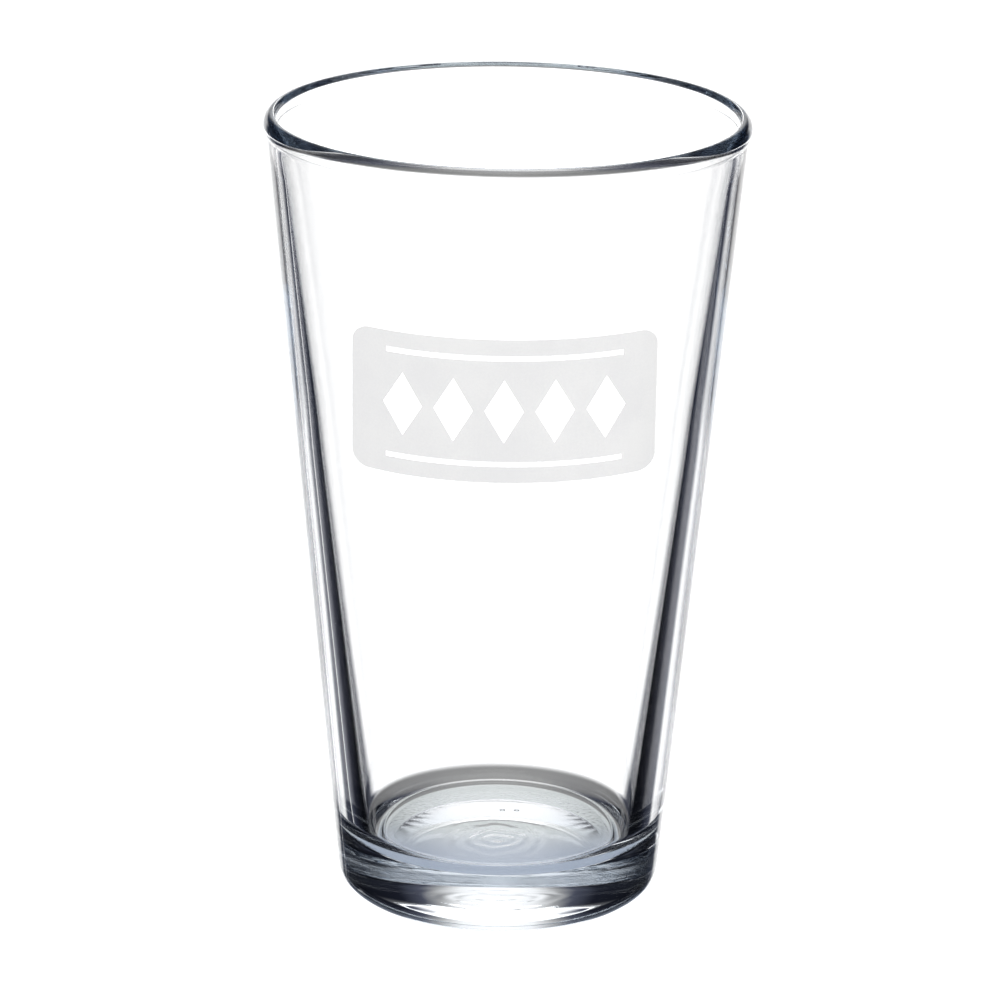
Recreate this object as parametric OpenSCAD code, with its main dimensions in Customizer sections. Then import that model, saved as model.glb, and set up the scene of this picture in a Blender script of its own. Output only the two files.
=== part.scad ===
// US pint tumbler: one moulded glass body with a fired-on label on its front.
// Origin: centre of the bearing ring, on the table. +Z up, the label faces -Y.

/* [Body] */
// Height of the glass over the rim
height = 149.2; // [140:0.1:160]
// Largest radius, at the rim bead
rim_r = 44.45; // [44.2:0.05:44.8]
// Lean of the outer wall from upright, in degrees
outer_taper = 5.44; // [5.3:0.02:5.5]

/* [Rim] */
// Radius of the rim's round outside
lip_r = 2.3; // [2.1:0.05:2.5]
// Radius of the crest on the drinking side
crest_r = 0.8; // [0.6:0.05:0.9]
// Radius of the hollow round between the rim and the wall under it
neck_r = 0.8; // [0.5:0.1:1.2]

/* [Base] */
// Outer radius of the bearing ring that touches the table
bearing_r = 25.7; // [25:0.1:26]
// Radius of the heel between bearing ring and wall
heel_r = 4.7; // [4:0.1:5]
// Radius of the hollow under the base
push_up_r = 21.5; // [18:0.5:23]
// Depth of the hollow under the base, at its middle
push_up_depth = 1.6; // [0.8:0.1:2.5]

/* [Inside] */
// Radius of the mouth, where the inner wall would reach the top
mouth_r = 42.26; // [42:0.02:42.4]
// Lean of the upper inner wall from upright, in degrees
upper_taper = 7.41; // [7.2:0.02:7.6]
// Lean of the lower inner wall from upright, in degrees
lower_taper = 6.79; // [6.6:0.02:7.2]
// Height at which the inner wall changes its lean
knee_z = 95.0; // [80:1:110]
// Height of the inside floor, which is the thickness of the base
floor_z = 11.2; // [9:0.1:14]
// Radius of the hollow round between inner wall and floor
cove_r = 6.3; // [5:0.1:7]
// How much of that round the flat floor cuts off
cove_cut = 1.06; // [0.6:0.02:1.4]

/* [Mould dots] */
// Radius of each raised dot under the base
dot_r = 0.55; // [0.3:0.05:0.8]
// How far a dot stands off the hollow
dot_height = 0.35; // [0.2:0.05:0.5]
// Distance of the dots behind the axis
dot_back = 15.5; // [12:0.1:17]
// Distance of the first dot to the right of the axis
dot_x = 0.8; // [0:0.1:2]
// Gap between the middles of the two dots
dot_pitch = 2.9; // [2:0.1:4]

/* [Label] */
// Width of the label, across the front
label_w = 54.0; // [40:0.5:60]
// Height of the label's lower edge
label_z = 91.0; // [70:0.5:95]
// Height of the label
label_h = 27.0; // [20:0.5:30]
// Thickness of the fired ink
ink = 0.15; // [0.1:0.05:0.3]
// Radius of the label's corners
label_corner = 3.0; // [1:0.5:5]
// Thickness of the clear lines along the label's long edges
line_h = 1.0; // [0.6:0.1:1.6]
// Number of clear diamonds in the row
diamonds = 5; // [3:2:7]
// Width of each diamond
diamond_w = 7.0; // [4:0.5:7.5]
// Height of each diamond
diamond_h = 12.0; // [8:0.5:14]

/* [Hidden] */
$fn = 128;

// outer wall, tangent to the heel
heel_x = bearing_r + heel_r * cos(outer_taper);
heel_z = heel_r - heel_r * sin(outer_taper);
function outer_x(z) = heel_x + (z - heel_z) * tan(outer_taper);

// inner wall: two cones that meet at the knee
knee_r = mouth_r - (height - knee_z) * tan(upper_taper);
function upper_x(z) = mouth_r - (height - z) * tan(upper_taper);
function lower_x(z) = knee_r - (knee_z - z) * tan(lower_taper);

// crest: a small round tangent to the inner wall, as high as the glass
crest_z = height - crest_r;
crest_x = upper_x(crest_z) + crest_r / cos(upper_taper);
inner_end = [crest_x - crest_r * cos(upper_taper), crest_z + crest_r * sin(upper_taper)];

// lip: the larger round outside, tangent to the crest and as wide as the rim
lip_x = rim_r - lip_r;
lip_gap = lip_r - crest_r;
lip_z = crest_z - sqrt(lip_gap * lip_gap - (crest_x - lip_x) * (crest_x - lip_x));
lip_angle = atan2(crest_z - lip_z, crest_x - lip_x);
joint = [lip_x + lip_r * cos(lip_angle), lip_z + lip_r * sin(lip_angle)];
widest = [rim_r, lip_z];

// neck: a hollow round tangent to the lip and to the outer wall
lip_depth = (outer_x(lip_z) - lip_x) * cos(outer_taper);
neck_drop = sqrt(pow(lip_r + neck_r, 2) - pow(neck_r + lip_depth, 2));
neck_top = lip_z - lip_depth * sin(outer_taper) - neck_drop * cos(outer_taper);
neck_end = [outer_x(neck_top), neck_top];
neck = neck_end + neck_r * [cos(outer_taper), -sin(outer_taper)];
lip_end = [lip_x, lip_z] + (neck - [lip_x, lip_z]) * lip_r / (lip_r + neck_r);

// cove between inner wall and floor, cut off by the floor
cove_z = floor_z + cove_r - cove_cut;
cove_x = lower_x(cove_z) - cove_r / cos(lower_taper);
cove_end = [cove_x + cove_r * cos(lower_taper), cove_z - cove_r * sin(lower_taper)];
floor_r = cove_x + sqrt(cove_r * cove_r - (cove_z - floor_z) * (cove_z - floor_z));

// hollow under the base, a shallow cap of a large sphere
push_up_ball = (push_up_r * push_up_r + push_up_depth * push_up_depth) / (2 * push_up_depth);
dot_low = push_up_depth - push_up_ball
    + sqrt(push_up_ball * push_up_ball - dot_back * dot_back) - dot_height;

// Slice of a circle outside the chord from a point to another
module arc_slice(middle, radius, from, to, fn) {
    intersection() {
        translate(middle)
            circle(radius, $fn = fn);
        polygon([
            from,
            from + (from - middle) * 0.6,
            to + (to - middle) * 0.6,
            to
        ]);
    }
}

// Half section of the outside, closed at the axis
module outside_section() {
    polygon([
        [0, 0],
        [bearing_r, 0],
        [heel_x, heel_z],
        neck_end,
        lip_end,
        widest,
        joint,
        inner_end,
        [0, inner_end[1]]
    ]);
    translate([bearing_r, heel_r])
        circle(heel_r);
    arc_slice([lip_x, lip_z], lip_r, lip_end, widest, 96);
    arc_slice([lip_x, lip_z], lip_r, widest, joint, 96);
    translate([crest_x, crest_z])
        circle(crest_r, $fn = 48);
}

// Half section of the drinking space, open at the top
module inside_section() {
    polygon([
        [-1, floor_z],
        [floor_r, floor_z],
        cove_end,
        [knee_r, knee_z],
        inner_end,
        [inner_end[0], height + 1],
        [-1, height + 1]
    ]);
    arc_slice([cove_x, cove_z], cove_r, [floor_r, floor_z], cove_end, 128);
}

// One of the raised dots that mark the mould
module mould_dot(x) {
    translate([x, dot_back, dot_low])
        cylinder(r = dot_r, h = 2);
}

module tumbler() {
    color([0.86, 0.90, 0.93, 0.35]) {
        rotate_extrude()
            difference() {
                outside_section();
                inside_section();
                arc_slice(neck, neck_r, neck_end, lip_end, 64);
                translate([0, push_up_depth - push_up_ball])
                    circle(push_up_ball, $fn = 256);
            }
        mould_dot(dot_x);
        mould_dot(dot_x + dot_pitch);
    }
}

// Outline of the label, seen from the front
module label_outline() {
    translate([-label_w / 2 + label_corner, 0])
        square([label_w - 2 * label_corner, label_h]);
    translate([-label_w / 2, label_corner])
        square([label_w, label_h - 2 * label_corner]);
    for (x = [-1, 1], y = [label_corner, label_h - label_corner])
        translate([x * (label_w / 2 - label_corner), y])
            circle(label_corner, $fn = 48);
}

// The clear shapes left out of the label: two lines and a row of diamonds
module label_clear() {
    line_w = label_w - 4 * label_corner;
    for (y = [label_corner, label_h - label_corner - line_h])
        translate([-line_w / 2, y])
            square([line_w, line_h]);
    for (i = [0 : diamonds - 1])
        translate([(i - (diamonds - 1) / 2) * (diamond_w + 2), label_h / 2])
            polygon([
                [-diamond_w / 2, 0],
                [0, -diamond_h / 2],
                [diamond_w / 2, 0],
                [0, diamond_h / 2]
            ]);
}

// Skin of ink on the outer wall, all the way round
module ink_skin() {
    low = label_z - 1;
    high = label_z + label_h + 1;
    rotate_extrude()
        polygon([
            [outer_x(low), low],
            [outer_x(low) + ink, low],
            [outer_x(high) + ink, high],
            [outer_x(high), high]
        ]);
}

module printed_label() {
    color([0.92, 0.92, 0.92])
        intersection() {
            ink_skin();
            translate([0, 0, label_z])
                rotate([90, 0, 0])
                    linear_extrude(rim_r + 10)
                        difference() {
                            label_outline();
                            label_clear();
                        }
        }
}

tumbler();
printed_label();
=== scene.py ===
from math import asin, atan, atan2, cos, degrees, pi, radians, sin, sqrt, tan

import bmesh
import bpy
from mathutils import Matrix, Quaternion, Vector


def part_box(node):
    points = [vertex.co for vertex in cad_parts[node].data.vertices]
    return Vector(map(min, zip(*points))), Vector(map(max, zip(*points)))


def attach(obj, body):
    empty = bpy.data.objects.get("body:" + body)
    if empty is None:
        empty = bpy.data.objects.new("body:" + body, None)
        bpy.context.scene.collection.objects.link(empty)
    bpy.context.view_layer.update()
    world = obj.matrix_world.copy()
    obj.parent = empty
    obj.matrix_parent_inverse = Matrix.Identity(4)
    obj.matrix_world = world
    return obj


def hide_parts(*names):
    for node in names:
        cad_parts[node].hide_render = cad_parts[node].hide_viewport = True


mm = 0.001
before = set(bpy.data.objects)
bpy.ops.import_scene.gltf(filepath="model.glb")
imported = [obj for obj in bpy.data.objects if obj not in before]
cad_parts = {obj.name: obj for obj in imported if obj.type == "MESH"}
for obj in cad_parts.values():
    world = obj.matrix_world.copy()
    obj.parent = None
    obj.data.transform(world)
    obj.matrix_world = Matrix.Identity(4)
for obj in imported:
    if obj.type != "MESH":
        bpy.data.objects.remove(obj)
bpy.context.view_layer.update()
scene = bpy.context.scene
tumblerLow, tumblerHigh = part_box("tumbler")
labelLow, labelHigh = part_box("printed_label")
print("frame loaded", [round(v / mm, 2) for v in tumblerHigh - tumblerLow], "mm")


# camera

cameraSetup = {
    "lens": 172.2,           # mm on a 36 mm sensor
    "distance": 890 * mm,    # from the middle of the glass
    "elevation": 17.65,      # degrees above the table
    "roll": 0.785,           # degrees, the glass leans a touch to the right
    "aimRight": -0.52 * mm,
    "aimUp": 0.86 * mm,
}


def makeCamera(setup):
    tilt = radians(setup["elevation"])
    middle = Vector((0, 0, (tumblerLow.z + tumblerHigh.z) / 2))
    back = Vector((0, -cos(tilt), sin(tilt)))
    up = Vector((0, sin(tilt), cos(tilt)))
    data = bpy.data.cameras.new("camera")
    data.lens = setup["lens"]
    data.sensor_width = 36
    data.clip_start = 0.01
    data.clip_end = 50
    data.dof.use_dof = False
    camera = bpy.data.objects.new("camera", data)
    scene.collection.objects.link(camera)
    camera.rotation_mode = "QUATERNION"
    aim = middle + Vector((setup["aimRight"], 0, 0)) + up * setup["aimUp"]
    camera.location = aim + back * setup["distance"]
    turn = Quaternion((0, 0, 1), radians(setup["roll"]))
    camera.rotation_quaternion = (-back).to_track_quat("-Z", "Y") @ turn
    scene.camera = camera


makeCamera(cameraSetup)
print("camera set")


# small helpers for shapes and nodes

def finishPiece(bm, name, material, node, smooth=True):
    mesh = bpy.data.meshes.new(name)
    bm.to_mesh(mesh)
    bm.free()
    for face in mesh.polygons:
        face.use_smooth = smooth
    piece = bpy.data.objects.new(name, mesh)
    scene.collection.objects.link(piece)
    mesh.materials.append(material)
    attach(piece, "root")
    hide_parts(node)
    return piece


def lineTo(bm, tip, point):
    made = bmesh.ops.extrude_vert_indiv(bm, verts=[tip])
    new = made["verts"][0]
    new.co = Vector((point[0] * mm, 0, point[1] * mm))
    return new


def arcTo(bm, tip, centre, turn, steps):
    # turn in degrees, anticlockwise in the section with the axis on its left
    middle = Vector((centre[0] * mm, 0, centre[1] * mm))
    made = bmesh.ops.spin(bm, geom=[tip], cent=middle, axis=(0, -1, 0), angle=radians(turn),
                          steps=steps, use_merge=False)
    return [part for part in made["geom_last"] if isinstance(part, bmesh.types.BMVert)][0]


def addNode(tree, kind, where, **values):
    node = tree.nodes.new(kind)
    node.location = where
    for key, value in values.items():
        setattr(node, key, value)
    return node


def newMaterial(name):
    material = bpy.data.materials.new(name)
    material.use_nodes = True
    tree = material.node_tree
    tree.nodes.clear()
    shader = addNode(tree, "ShaderNodeBsdfPrincipled", (300, 0))
    output = addNode(tree, "ShaderNodeOutputMaterial", (700, 0))
    tree.links.new(shader.outputs["BSDF"], output.inputs["Surface"])
    return material, tree, shader


def mathNode(tree, operation, a, b=None):
    node = addNode(tree, "ShaderNodeMath", (0, 0), operation=operation)
    for index, value in enumerate((a, b)):
        if value is None:
            continue
        if isinstance(value, (int, float)):
            node.inputs[index].default_value = value
        else:
            tree.links.new(value, node.inputs[index])
    return node.outputs[0]


def plus(tree, a, b):
    return mathNode(tree, "ADD", a, b)


def times(tree, a, b):
    return mathNode(tree, "MULTIPLY", a, b)


def splitVector(tree, vector):
    node = addNode(tree, "ShaderNodeSeparateXYZ", (-1000, -200))
    tree.links.new(vector, node.inputs[0])
    return node.outputs


def mixColour(tree, factor, a, b):
    node = addNode(tree, "ShaderNodeMix", (0, 0), data_type="RGBA")
    tree.links.new(factor, node.inputs["Factor"])
    sockets = [socket for socket in node.inputs if socket.type == "RGBA"]
    for socket, value in zip(sockets, (a, b)):
        if isinstance(value, tuple):
            socket.default_value = (*value, 1)
        else:
            tree.links.new(value, socket)
    return [socket for socket in node.outputs if socket.type == "RGBA"][0]


# the moulded glass

glassShape = {
    "height": tumblerHigh.z / mm,
    "rimRadius": tumblerHigh.x / mm,
    "outerTaper": 5.44,      # degrees from upright
    "lipRadius": 2.3,        # outside of the rim
    "crestRadius": 0.8,      # drinking side of the rim
    "neckRadius": 0.8,       # hollow round under the rim
    "bearingRadius": 25.7,   # outside of the ring that touches the table
    "heelRadius": 4.7,
    "pushUpRadius": 21.5,
    "pushUpDepth": 1.6,
    "mouthRadius": 42.26,    # inner wall carried up to the top
    "upperTaper": 7.41,
    "lowerTaper": 6.79,
    "kneeHeight": 95.0,      # where the inner wall changes its lean
    "floorHeight": 11.2,
    "coveRadius": 6.3,       # hollow round between inner wall and floor
    "coveCut": 1.06,
    "ringInset": 0.55,       # fine ring on the floor, from the floor's edge
    "ringRadius": 0.35,
    "ringHalfWidth": 0.94,   # as a share of its radius, like the next
    "ringSink": 0.34,        # how deep the middle of its round lies in the floor
    "ringTurn": 140,         # degrees of the round that stand out
    "flatInset": (0.6, 1.5), # flat of the bearing ring, in from the hollow and from the heel
    "roundSteps": 360,
}


def outerRadius(z, shape=glassShape):
    lean = radians(shape["outerTaper"])
    heelTop = shape["heelRadius"] * (1 - sin(lean))
    return shape["bearingRadius"] + shape["heelRadius"] * cos(lean) + (z - heelTop) * tan(lean)


def wallTo(bm, tip, start, end, steps):
    for step in range(1, steps + 1):
        share = step / steps
        tip = lineTo(bm, tip, [a + (b - a) * share for a, b in zip(start, end)])
    return tip


def makeGlass(shape, material):
    bm = bmesh.new()
    lean, upper, lower = (radians(shape[key]) for key in ("outerTaper", "upperTaper", "lowerTaper"))
    heel, lip, crest, cove = (shape[key + "Radius"] for key in ("heel", "lip", "crest", "cove"))
    # the hollow under the base, from its middle outwards
    hollow, depth = shape["pushUpRadius"], shape["pushUpDepth"]
    ball = (hollow ** 2 + depth ** 2) / (2 * depth)
    tip = bm.verts.new((0, 0, depth * mm))
    tip = arcTo(bm, tip, (0, depth - ball), -degrees(atan(hollow / (ball - depth))), 24)
    # bearing ring and heel
    for radius in (hollow + shape["flatInset"][0], shape["bearingRadius"] - shape["flatInset"][1],
                   shape["bearingRadius"]):
        tip = lineTo(bm, tip, (radius, 0))
    tip = arcTo(bm, tip, (shape["bearingRadius"], heel), 90 - shape["outerTaper"], 24)
    # the rim's rounds: crest inside and lip outside
    crestHeight = shape["height"] - crest
    crestMiddle = shape["mouthRadius"] - crest * tan(upper) + crest / cos(upper)
    lipMiddle = shape["rimRadius"] - lip
    lipHeight = crestHeight - sqrt((lip - crest) ** 2 - (crestMiddle - lipMiddle) ** 2)
    joinAngle = degrees(atan2(crestHeight - lipHeight, crestMiddle - lipMiddle))
    # hollow round between the outer wall and the lip, tangent to both
    neck = shape["neckRadius"]
    inset = (outerRadius(lipHeight) - lipMiddle) * cos(lean)
    drop = sqrt((lip + neck) ** 2 - (neck + inset) ** 2)
    neckTop = lipHeight - inset * sin(lean) - drop * cos(lean)
    neckMiddle = (outerRadius(neckTop) + neck * cos(lean), neckTop - neck * sin(lean))
    lipStart = degrees(atan2(neckMiddle[1] - lipHeight, neckMiddle[0] - lipMiddle))
    heelTop = heel * (1 - sin(lean))
    tip = wallTo(bm, tip, (outerRadius(heelTop), heelTop), (outerRadius(neckTop), neckTop), 24)
    tip = arcTo(bm, tip, neckMiddle, lipStart + shape["outerTaper"], 6)
    tip = arcTo(bm, tip, (lipMiddle, lipHeight), joinAngle - lipStart, 26)
    tip = arcTo(bm, tip, (crestMiddle, crestHeight), 180 - joinAngle - shape["upperTaper"], 12)
    # inner wall, hollow round and floor
    start = (crestMiddle - crest * cos(upper), crestHeight + crest * sin(upper))
    kneeRadius = shape["mouthRadius"] - (shape["height"] - shape["kneeHeight"]) * tan(upper)
    coveHeight = shape["floorHeight"] + cove - shape["coveCut"]
    coveMiddle = kneeRadius - (shape["kneeHeight"] - coveHeight) * tan(lower) - cove / cos(lower)
    coveTop = (coveMiddle + cove * cos(lower), coveHeight - cove * sin(lower))
    floorRadius = coveMiddle + sqrt(cove ** 2 - (coveHeight - shape["floorHeight"]) ** 2)
    coveTurn = degrees(asin((coveHeight - shape["floorHeight"]) / cove)) - shape["lowerTaper"]
    tip = wallTo(bm, tip, start, (kneeRadius, shape["kneeHeight"]), 12)
    tip = wallTo(bm, tip, (kneeRadius, shape["kneeHeight"]), coveTop, 14)
    tip = arcTo(bm, tip, (coveMiddle, coveHeight), -coveTurn, 16)
    # a fine raised ring just inside the edge of the floor
    ring = shape["ringRadius"]
    ringMiddle = floorRadius - shape["ringInset"] - ring
    halfWidth = ring * shape["ringHalfWidth"]
    level = shape["floorHeight"]
    tip = lineTo(bm, tip, (ringMiddle + halfWidth, level))
    tip = arcTo(bm, tip, (ringMiddle, level - ring * shape["ringSink"]), shape["ringTurn"], 10)
    wallTo(bm, tip, (ringMiddle - halfWidth, level), (0, level), 14)
    # turned all the way round
    bmesh.ops.spin(bm, geom=bm.verts[:] + bm.edges[:], cent=(0, 0, 0), axis=(0, 0, 1), angle=2 * pi,
                   steps=shape["roundSteps"], use_merge=True)
    bmesh.ops.remove_doubles(bm, verts=bm.verts[:], dist=0.002 * mm)
    bmesh.ops.recalc_face_normals(bm, faces=bm.faces[:])
    openEdges = [edge for edge in bm.edges if not edge.is_manifold]
    print("glass", len(bm.faces), "faces", len(openEdges), "open edges", bm.calc_volume() * 1e6, "ml")
    return finishPiece(bm, "tumblerGlass", material, "tumbler")


# clear glass

glassLook = {
    "tint": (0.93, 0.945, 0.96),  # colour that thick glass takes
    "tintDensity": 26,
    "refraction": 1.52,
    "waves": 0.02,                # mm, slow waves of the pressed wall
    "wavesPerMetre": 38,
    "wavesUpright": 0.35,         # upright scale of the waves, under 1 draws them out
    "swirl": 0.035,               # mm, shear rings in the middle of the hollow
    "swirlTurns": 2100,           # radians per metre from the axis
    "swirlFades": (13, 4),        # mm from the axis where the rings begin and are full
    "wobble": 9.0,                # radians by which the rings wander
    "wobblesPerMetre": 160,
    "hollowTop": (2.2, 1.9),      # mm, above this the marks of the hollow end
    "stipple": 0.05,              # mm, fine knurl of the bearing ring
    "stipplesPerMetre": 1100,
    "ringStarts": (21.2, 22.0),   # mm from the axis
    "ringTop": (1.0, 0.35),       # mm above the table
    "ringRoughness": 0.12,
    "dots": [(0.8, 15.5), (3.7, 15.5)],  # mm, raised mould dots under the base
    "dotSize": 0.6,
    "dotHeight": 0.16,
}


def newGroup(name, outputs):
    group = bpy.data.node_groups.new(name, "ShaderNodeTree")
    group.interface.new_socket("Place", in_out="INPUT", socket_type="NodeSocketVector")
    for output in outputs:
        group.interface.new_socket(output, in_out="OUTPUT", socket_type="NodeSocketFloat")
    return group, addNode(group, "NodeGroupInput", (-1400, 0)), addNode(group, "NodeGroupOutput", (900, 0))


def useGroup(tree, group, where):
    node = addNode(tree, "ShaderNodeGroup", where)
    node.node_tree = group
    place = addNode(tree, "ShaderNodeTexCoord", (where[0] - 300, where[1]))
    tree.links.new(place.outputs["Object"], node.inputs["Place"])
    return node


def noise(tree, vector, scale, detail=2.0):
    node = addNode(tree, "ShaderNodeTexNoise", (-700, 0))
    node.inputs["Scale"].default_value = scale
    node.inputs["Detail"].default_value = detail
    tree.links.new(vector, node.inputs["Vector"])
    return node.outputs["Fac"]


def softStep(tree, value, start, end):
    node = addNode(tree, "ShaderNodeMapRange", (0, 0), interpolation_type="SMOOTHSTEP", clamp=True)
    tree.links.new(value, node.inputs["Value"])
    node.inputs["From Min"].default_value = start
    node.inputs["From Max"].default_value = end
    return node.outputs["Result"]


def stepInMm(tree, value, pair):
    return softStep(tree, value, pair[0] * mm, pair[1] * mm)


def makeMouldMarks(look):
    # relief in mm that the mould leaves in the glass, and where the bearing ring is matt
    group, source, sink = newGroup("mouldMarks", ("Height", "Matt"))
    place = source.outputs["Place"]
    x, y, z = splitVector(group, place)
    radius = mathNode(group, "SQRT", plus(group, times(group, x, x), times(group, y, y)))
    stretch = addNode(group, "ShaderNodeVectorMath", (-1000, 200), operation="MULTIPLY")
    stretch.inputs[1].default_value = (1, 1, look["wavesUpright"])
    group.links.new(place, stretch.inputs[0])
    height = times(group, noise(group, stretch.outputs[0], look["wavesPerMetre"], 1.0), look["waves"])
    # shear rings, only low in the hollow
    low = stepInMm(group, z, look["hollowTop"])
    wobble = times(group, noise(group, place, look["wobblesPerMetre"], 1.0), look["wobble"])
    rings = mathNode(group, "SINE", plus(group, times(group, radius, look["swirlTurns"]), wobble))
    inner = times(group, stepInMm(group, radius, look["swirlFades"]), low)
    height = plus(group, height, times(group, times(group, rings, inner), look["swirl"]))
    # knurl on the ring that stands on the table
    ring = times(group, stepInMm(group, radius, look["ringStarts"]), stepInMm(group, z, look["ringTop"]))
    cells = addNode(group, "ShaderNodeTexVoronoi", (-700, -400))
    cells.inputs["Scale"].default_value = look["stipplesPerMetre"]
    group.links.new(place, cells.inputs["Vector"])
    knurl = times(group, times(group, cells.outputs["Distance"], ring), look["stipple"])
    height = plus(group, height, knurl)
    # raised dots
    flat = addNode(group, "ShaderNodeCombineXYZ", (-600, -700))
    group.links.new(x, flat.inputs[0])
    group.links.new(y, flat.inputs[1])
    for dotX, dotY in look["dots"]:
        away = addNode(group, "ShaderNodeVectorMath", (-400, -700), operation="DISTANCE")
        group.links.new(flat.outputs[0], away.inputs[0])
        away.inputs[1].default_value = (dotX * mm, dotY * mm, 0)
        edge = stepInMm(group, away.outputs["Value"], (look["dotSize"], 0.25 * look["dotSize"]))
        height = plus(group, height, times(group, times(group, edge, low), look["dotHeight"]))
    group.links.new(height, sink.inputs["Height"])
    group.links.new(times(group, ring, look["ringRoughness"]), sink.inputs["Matt"])
    return group


def addBump(tree, height, shader):
    bump = addNode(tree, "ShaderNodeBump", (50, -300))
    bump.inputs["Strength"].default_value = 1.0
    bump.inputs["Distance"].default_value = mm
    tree.links.new(height, bump.inputs["Height"])
    tree.links.new(bump.outputs["Normal"], shader.inputs["Normal"])


def makeClearGlass(look):
    material, tree, shader = newMaterial("clearGlass")
    shader.inputs["Base Color"].default_value = (1, 1, 1, 1)
    shader.inputs["IOR"].default_value = look["refraction"]
    shader.inputs["Transmission Weight"].default_value = 1.0
    marks = useGroup(tree, makeMouldMarks(look), (-300, 0))
    tree.links.new(marks.outputs["Matt"], shader.inputs["Roughness"])
    addBump(tree, marks.outputs["Height"], shader)
    soak = addNode(tree, "ShaderNodeVolumeAbsorption", (300, -500))
    soak.inputs["Color"].default_value = (*look["tint"], 1)
    soak.inputs["Density"].default_value = look["tintDensity"]
    tree.links.new(soak.outputs["Volume"], tree.nodes["Material Output"].inputs["Volume"])
    return material


glass = makeGlass(glassShape, makeClearGlass(glassLook))


# the fired label

labelShape = {
    "width": (labelHigh.x - labelLow.x) / mm,
    "low": labelLow.z / mm,
    "high": labelHigh.z / mm,
    "corner": 3.0,
    "ink": 0.15,
    "lineHeight": 1.0,
    "diamonds": 5,
    "diamondWidth": 7.0,
    "diamondHeight": 12.0,
    "diamondGap": 2.0,
    "cuts": 26,              # upright cuts on each side of the middle, 1 mm apart
    "gap": 0.004,            # between ink and glass, so that the two skins don't share a place
}


def closedOutline(bm, points, cornerRadius=0.0):
    verts = [bm.verts.new((x * mm, 0, z * mm)) for x, z in points]
    edges = [bm.edges.new((vert, verts[(i + 1) % len(verts)])) for i, vert in enumerate(verts)]
    if cornerRadius:
        bmesh.ops.bevel(bm, geom=verts + edges, offset=cornerRadius * mm, offset_type="OFFSET", segments=10,
                        profile=0.5, affect="VERTICES", material=-1)


def rectangle(half, low, high):
    return [(-half, low), (half, low), (half, high), (-half, high)]


def makeLabel(shape, material):
    bm = bmesh.new()
    half, low, high, corner = shape["width"] / 2, shape["low"], shape["high"], shape["corner"]
    closedOutline(bm, rectangle(half, low, high), corner)
    for z in (low + corner, high - corner - shape["lineHeight"]):
        closedOutline(bm, rectangle(half - 2 * corner, z, z + shape["lineHeight"]))
    middle = (low + high) / 2
    wide, tall = shape["diamondWidth"] / 2, shape["diamondHeight"] / 2
    for i in range(shape["diamonds"]):
        x = (i - (shape["diamonds"] - 1) / 2) * (shape["diamondWidth"] + shape["diamondGap"])
        closedOutline(bm, [(x - wide, middle), (x, middle - tall), (x + wide, middle), (x, middle + tall)])
    bmesh.ops.triangle_fill(bm, use_beauty=True, use_dissolve=False, edges=bm.edges[:], normal=(0, -1, 0))
    # upright cuts let the flat sheet follow the round wall
    for cut in range(-shape["cuts"], shape["cuts"] + 1):
        bmesh.ops.bisect_plane(bm, geom=bm.verts[:] + bm.edges[:] + bm.faces[:], dist=1e-7,
                               plane_co=(cut * mm, 0, 0), plane_no=(1, 0, 0))
    for vert in bm.verts:
        radius = outerRadius(vert.co.z / mm) * mm + shape["gap"] * mm
        vert.co.y = -sqrt(radius * radius - vert.co.x ** 2)
    bmesh.ops.recalc_face_normals(bm, faces=bm.faces[:])
    if sum(face.normal.y for face in bm.faces) > 0:
        bmesh.ops.reverse_faces(bm, faces=bm.faces[:])
    bmesh.ops.solidify(bm, geom=bm.faces[:], thickness=-shape["ink"] * mm)
    print("label", len(bm.faces), "faces", bm.calc_volume() * 1e9, "mm3")
    finishPiece(bm, "labelInk", material, "printed_label", smooth=False)


inkLook = {
    "light": (0.765, 0.765, 0.765),
    "dark": (0.735, 0.735, 0.74),
    "roughness": (0.34, 0.48),
    "grain": 0.012,          # mm
    "mesh": 0.30,            # mm between the threads of the printing screen
    "grainsPerMetre": 2600,
    "cloudsPerMetre": 90,
}


def makeInkGrain(look):
    # printing screen weave and fine grain of the fired ink
    group, source, sink = newGroup("inkGrain", ("Cloud", "Height"))
    place = source.outputs["Place"]
    x, y, z = splitVector(group, place)
    turns = 2 * pi / (look["mesh"] * mm)
    weave = times(group, mathNode(group, "SINE", times(group, x, turns)),
                  mathNode(group, "SINE", times(group, z, turns)))
    grain = noise(group, place, look["grainsPerMetre"], 3.0)
    height = plus(group, times(group, weave, 0.25 * look["grain"]), times(group, grain, look["grain"]))
    clouds = noise(group, place, look["cloudsPerMetre"], 2.0)
    cloud = plus(group, times(group, clouds, 0.6), times(group, grain, 0.4))
    group.links.new(softStep(group, cloud, 0.35, 0.65), sink.inputs["Cloud"])
    group.links.new(height, sink.inputs["Height"])
    return group


def makeFiredInk(look):
    material, tree, shader = newMaterial("firedInk")
    grain = useGroup(tree, makeInkGrain(look), (-500, 0))
    colour = mixColour(tree, grain.outputs["Cloud"], look["light"], look["dark"])
    tree.links.new(colour, shader.inputs["Base Color"])
    rough = addNode(tree, "ShaderNodeMapRange", (-200, -200))
    rough.inputs["To Min"].default_value, rough.inputs["To Max"].default_value = look["roughness"]
    tree.links.new(grain.outputs["Cloud"], rough.inputs["Value"])
    tree.links.new(rough.outputs["Result"], shader.inputs["Roughness"])
    addBump(tree, grain.outputs["Height"], shader)
    return material


makeLabel(labelShape, makeFiredInk(inkLook))
print("pieces made")


# studio: white table and white backdrop, with dark flags on both sides of the backdrop

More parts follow.
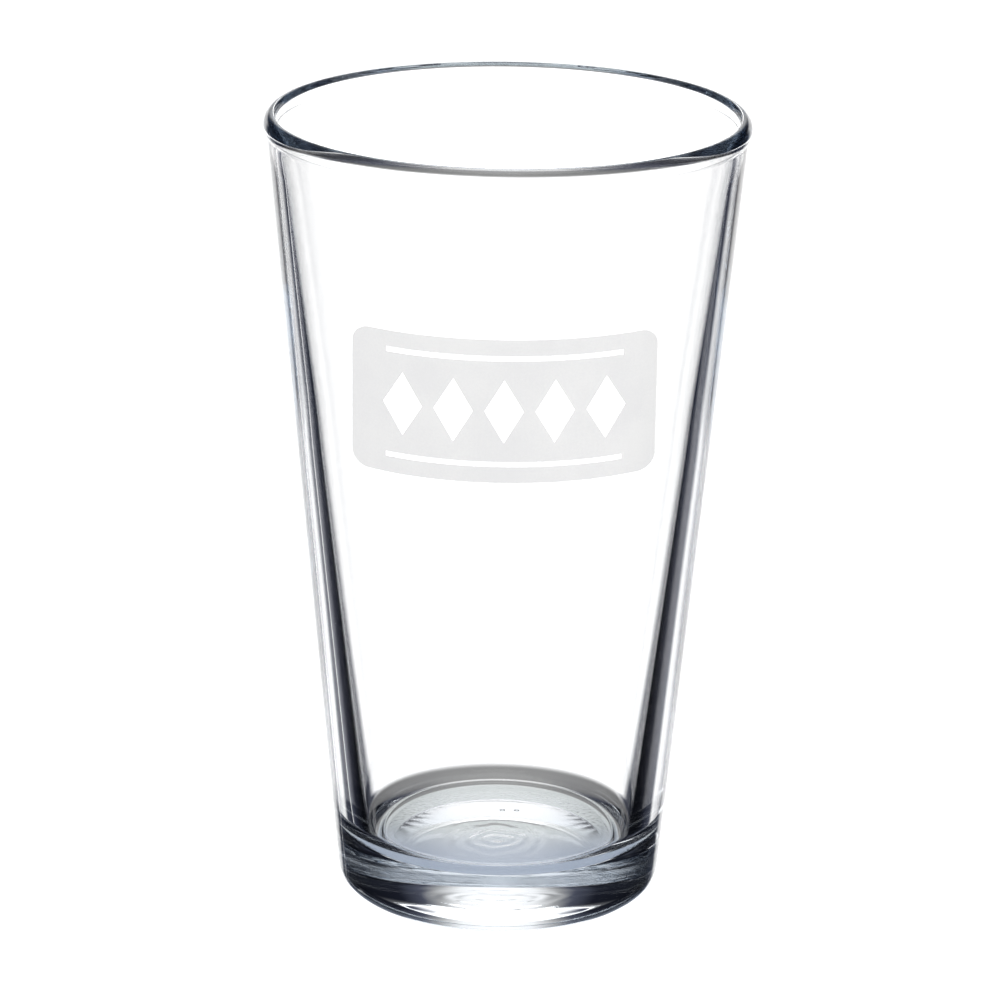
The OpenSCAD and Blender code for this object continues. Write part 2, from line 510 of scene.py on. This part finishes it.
studio = {
    "lightLevel": 1.25,      # even light on the table and the label
    # what the glass sees round it, in rows from below to above: first and last angle of the row
    # in degrees, then brightness at each side angle, 0 straight behind the glass and 180 in front
    "rows": [
        (-90, -64, [(0, 0.90), (60, 1.0), (180, 0.95)]),
        (-56, -38, [(12, 0.40), (24, 0.34), (36, 0.16), (57, 0.04), (90, 0.03), (112, 0.10), (162, 0.40)]),
        (-30, 2, [(24, 1.5), (30, 0.15), (41.5, 0.05), (46, 0.02), (54, 0.004), (90, 0.01), (120, 0.02),
                  (140, 0.08), (160, 0.30)]),
        (8, 32, [(0, 1.3), (9, 1.1), (15, 0.5), (20, 0.14), (28, 0.03), (60, 0.008), (110, 0.008),
                 (130, 0.02), (150, 0.1)]),
        (36, 56, [(0, 0.90), (25, 0.30), (50, 0.04), (110, 0.015), (150, 0.02)]),
        (62, 90, [(0, 1.25)]),
    ],
    # the backdrop narrows below this angle, by so many degrees for each degree, down to a last one
    "squeezeFrom": -24,
    "squeeze": 1.5,
    "squeezeFor": 8,
    # backdrops for viewpoints from the side and the back: middle, half width, lowest, highest angle
    "panels": [(-90, 24, -12, 5), (135, 26, -25, -6), (-45, 7, -37, -14)],
    "panelLevel": 1.4,
    "panelEdge": 3,          # degrees over which a panel fades on each side of its edge
    "gamma": 0.8,            # contrast of the finished picture
    "bounces": 160,          # light runs a long way round in the rim and the heel
    "shade": (0.78, 0.90, 1.45),  # tint of the dark parts
    "shadeBelow": 0.3,       # brightness under which the tint sets in
}


def stagePiece(bm, name, material):
    mesh = bpy.data.meshes.new(name)
    bm.to_mesh(mesh)
    bm.free()
    piece = bpy.data.objects.new(name, mesh)
    scene.collection.objects.link(piece)
    mesh.materials.append(material)
    return piece


def showOnlyToGlass(piece):
    piece.visible_camera = False
    piece.visible_diffuse = False
    piece.visible_shadow = False


table = {
    "halfSide": 8,           # metres
    "colour": (0.93, 0.93, 0.93),
    "roughness": 0.9,
}


def makeTable(setup):
    bm = bmesh.new()
    bmesh.ops.create_grid(bm, x_segments=2, y_segments=2, size=setup["halfSide"])
    material, tree, shader = newMaterial("tableTop")
    shader.inputs["Base Color"].default_value = (*setup["colour"], 1)
    shader.inputs["Roughness"].default_value = setup["roughness"]
    shader.inputs["Specular IOR Level"].default_value = 0.0
    piece = stagePiece(bm, "table", material)
    piece.visible_transmission = False
    piece.visible_glossy = False


# a spot of painted shade on the table right under the glass, which only the glass sees: its darker colours
# stand in for the glass's own shade on the table
spot = {
    "radius": 30 * mm,
    "below": 0.1 * mm,       # under the table's top
    # painted shade: grey colours, darker and bluer towards the front
    "back": (0.60, 0.63, 0.63),
    "front": (0.42, 0.47, 0.55),
    "turnsFrom": -5 * mm,    # where front shades into back, behind the axis
    "turnsTo": 14 * mm,
    "roughness": 0.9,
}


def makeSpot(setup):
    bm = bmesh.new()
    bmesh.ops.create_circle(bm, cap_ends=True, segments=96, radius=setup["radius"])
    for vert in bm.verts:
        vert.co.z = -setup["below"]
    material, tree, shader = newMaterial("tableShade")
    place = addNode(tree, "ShaderNodeTexCoord", (-1200, 0))
    back = splitVector(tree, place.outputs["Object"])["Y"]
    share = softStep(tree, back, setup["turnsFrom"], setup["turnsTo"])
    tree.links.new(mixColour(tree, share, setup["front"], setup["back"]), shader.inputs["Base Color"])
    shader.inputs["Roughness"].default_value = setup["roughness"]
    shader.inputs["Specular IOR Level"].default_value = 0.0
    showOnlyToGlass(stagePiece(bm, "tableSpot", material))


def levelRamp(tree, value, stops):
    # a grey scale whose dark end takes the shade's tint
    ramp = addNode(tree, "ShaderNodeValToRGB", (-200, 300))
    tree.links.new(value, ramp.inputs["Fac"])
    elements = ramp.color_ramp.elements
    elements.remove(elements[-1])
    for index, (position, level) in enumerate(stops):
        stop = elements[0] if index == 0 else elements.new(position)
        stop.position = position
        dark = max(0.0, 1 - level / studio["shadeBelow"])
        stop.color = [level * (1 - dark + dark * part) for part in studio["shade"]] + [1]
    return ramp.outputs["Color"]


def panel(tree, azimuth, elevation, middle, half, low, high):
    # 1 inside a white panel seen in that direction, 0 outside it
    edge = studio["panelEdge"]
    away = mathNode(tree, "WRAP", mathNode(tree, "SUBTRACT", azimuth, middle), 180)
    away.node.inputs[2].default_value = -180
    side = softStep(tree, mathNode(tree, "ABSOLUTE", away), half + edge, half - edge)
    above = softStep(tree, elevation, low - edge, low + edge)
    below = softStep(tree, elevation, high + edge, high - edge)
    return times(tree, side, times(tree, above, below))


# a dark strip behind the left of the glass: it keeps the left edge dark in front of the backdrop
# that lights the glass for the viewpoint from the front right
flag = {
    "turn": 47,              # degrees to the left of straight behind
    "away": 103 * mm,
    "low": (-60, -44, -3),   # mm: height, then outer and inner edge to the side of the axis
    "high": (140, -54, -18),
    # brightness across the strip, 0 at its outer edge and 1 towards the middle of the glass
    "levels": [(0, 0.004), (0.27, 0.005), (0.49, 0.02), (0.71, 0.05), (0.80, 0.08), (0.87, 0.13),
               (0.93, 0.22), (1, 1.4)],
}


def makeFlag(setup):
    bm = bmesh.new()
    across = bm.loops.layers.uv.new("across")
    turn = radians(setup["turn"])
    ahead = Vector((-sin(turn), cos(turn), 0)) * setup["away"]
    aside = Vector((cos(turn), sin(turn), 0)) * mm
    corners = [(setup["low"], 0), (setup["low"], 1), (setup["high"], 1), (setup["high"], 0)]
    face = bm.faces.new([bm.verts.new(ahead + aside * row[1 + side] + Vector((0, 0, row[0] * mm)))
                         for row, side in corners])
    for loop, (row, side) in zip(face.loops, corners):
        loop[across].uv = (side, 0)
    material, tree, shader = newMaterial("flagCloth")
    place = addNode(tree, "ShaderNodeTexCoord", (-1200, 0))
    share = splitVector(tree, place.outputs["UV"])["X"]
    tree.links.new(levelRamp(tree, share, setup["levels"]), shader.inputs["Emission Color"])
    shader.inputs["Emission Strength"].default_value = 1.0
    shader.inputs["Base Color"].default_value = (0, 0, 0, 1)
    shader.inputs["Specular IOR Level"].default_value = 0.0
    showOnlyToGlass(stagePiece(bm, "sideFlag", material))


def makeWorld(setup):
    world = bpy.data.worlds.new("studio")
    scene.world = world
    world.use_nodes = True
    tree = world.node_tree
    tree.nodes.clear()
    out = addNode(tree, "ShaderNodeOutputWorld", (1200, 0))
    # side angle and height angle of the direction, in degrees
    coordinates = addNode(tree, "ShaderNodeTexCoord", (-1200, 0))
    x, y, z = splitVector(tree, coordinates.outputs["Generated"])
    turn = 180 / pi
    azimuth = times(tree, mathNode(tree, "ARCTAN2", x, y), turn)
    elevation = times(tree, mathNode(tree, "ARCSINE", z), turn)
    below = mathNode(tree, "MAXIMUM", mathNode(tree, "SUBTRACT", setup["squeezeFrom"], elevation), 0)
    below = mathNode(tree, "MINIMUM", below, setup["squeezeFor"])
    away = plus(tree, mathNode(tree, "ABSOLUTE", azimuth), times(tree, below, setup["squeeze"]))
    away = mathNode(tree, "DIVIDE", away, 180)
    # each row takes over from the one below it
    colour, lastHigh = None, None
    for low, high, stops in setup["rows"]:
        row = levelRamp(tree, away, [(angle / 180, level) for angle, level in stops])
        if colour is None:
            colour = row
        else:
            colour = mixColour(tree, softStep(tree, elevation, lastHigh, low), colour, row)
        lastHigh = high
    for edges in setup["panels"]:
        inside = panel(tree, azimuth, elevation, *edges)
        colour = mixColour(tree, inside, colour, (setup["panelLevel"],) * 3)
    # the camera and the lit surfaces get the plain white, glass gets the rows
    through = addNode(tree, "ShaderNodeBackground", (800, 0))
    tree.links.new(colour, through.inputs["Color"])
    plain = addNode(tree, "ShaderNodeBackground", (800, -200))
    plain.inputs["Color"].default_value = (1, 1, 1, 1)
    plain.inputs["Strength"].default_value = setup["lightLevel"]
    path = addNode(tree, "ShaderNodeLightPath", (600, -400))
    bent = mathNode(tree, "MAXIMUM", path.outputs["Is Transmission Ray"], path.outputs["Is Glossy Ray"])
    pick = addNode(tree, "ShaderNodeMixShader", (1000, 0))
    tree.links.new(bent, pick.inputs[0])
    tree.links.new(plain.outputs[0], pick.inputs[1])
    tree.links.new(through.outputs[0], pick.inputs[2])
    tree.links.new(pick.outputs[0], out.inputs["Surface"])


makeTable(table)
makeSpot(spot)
makeFlag(flag)
makeWorld(studio)
scene.view_settings.view_transform = "Standard"
scene.view_settings.gamma = studio["gamma"]
scene.cycles.max_bounces = studio["bounces"]
scene.cycles.transmission_bounces = studio["bounces"]
scene.cycles.glossy_bounces = studio["bounces"]
glass.visible_diffuse = False
glass.visible_shadow = False
print("studio set")
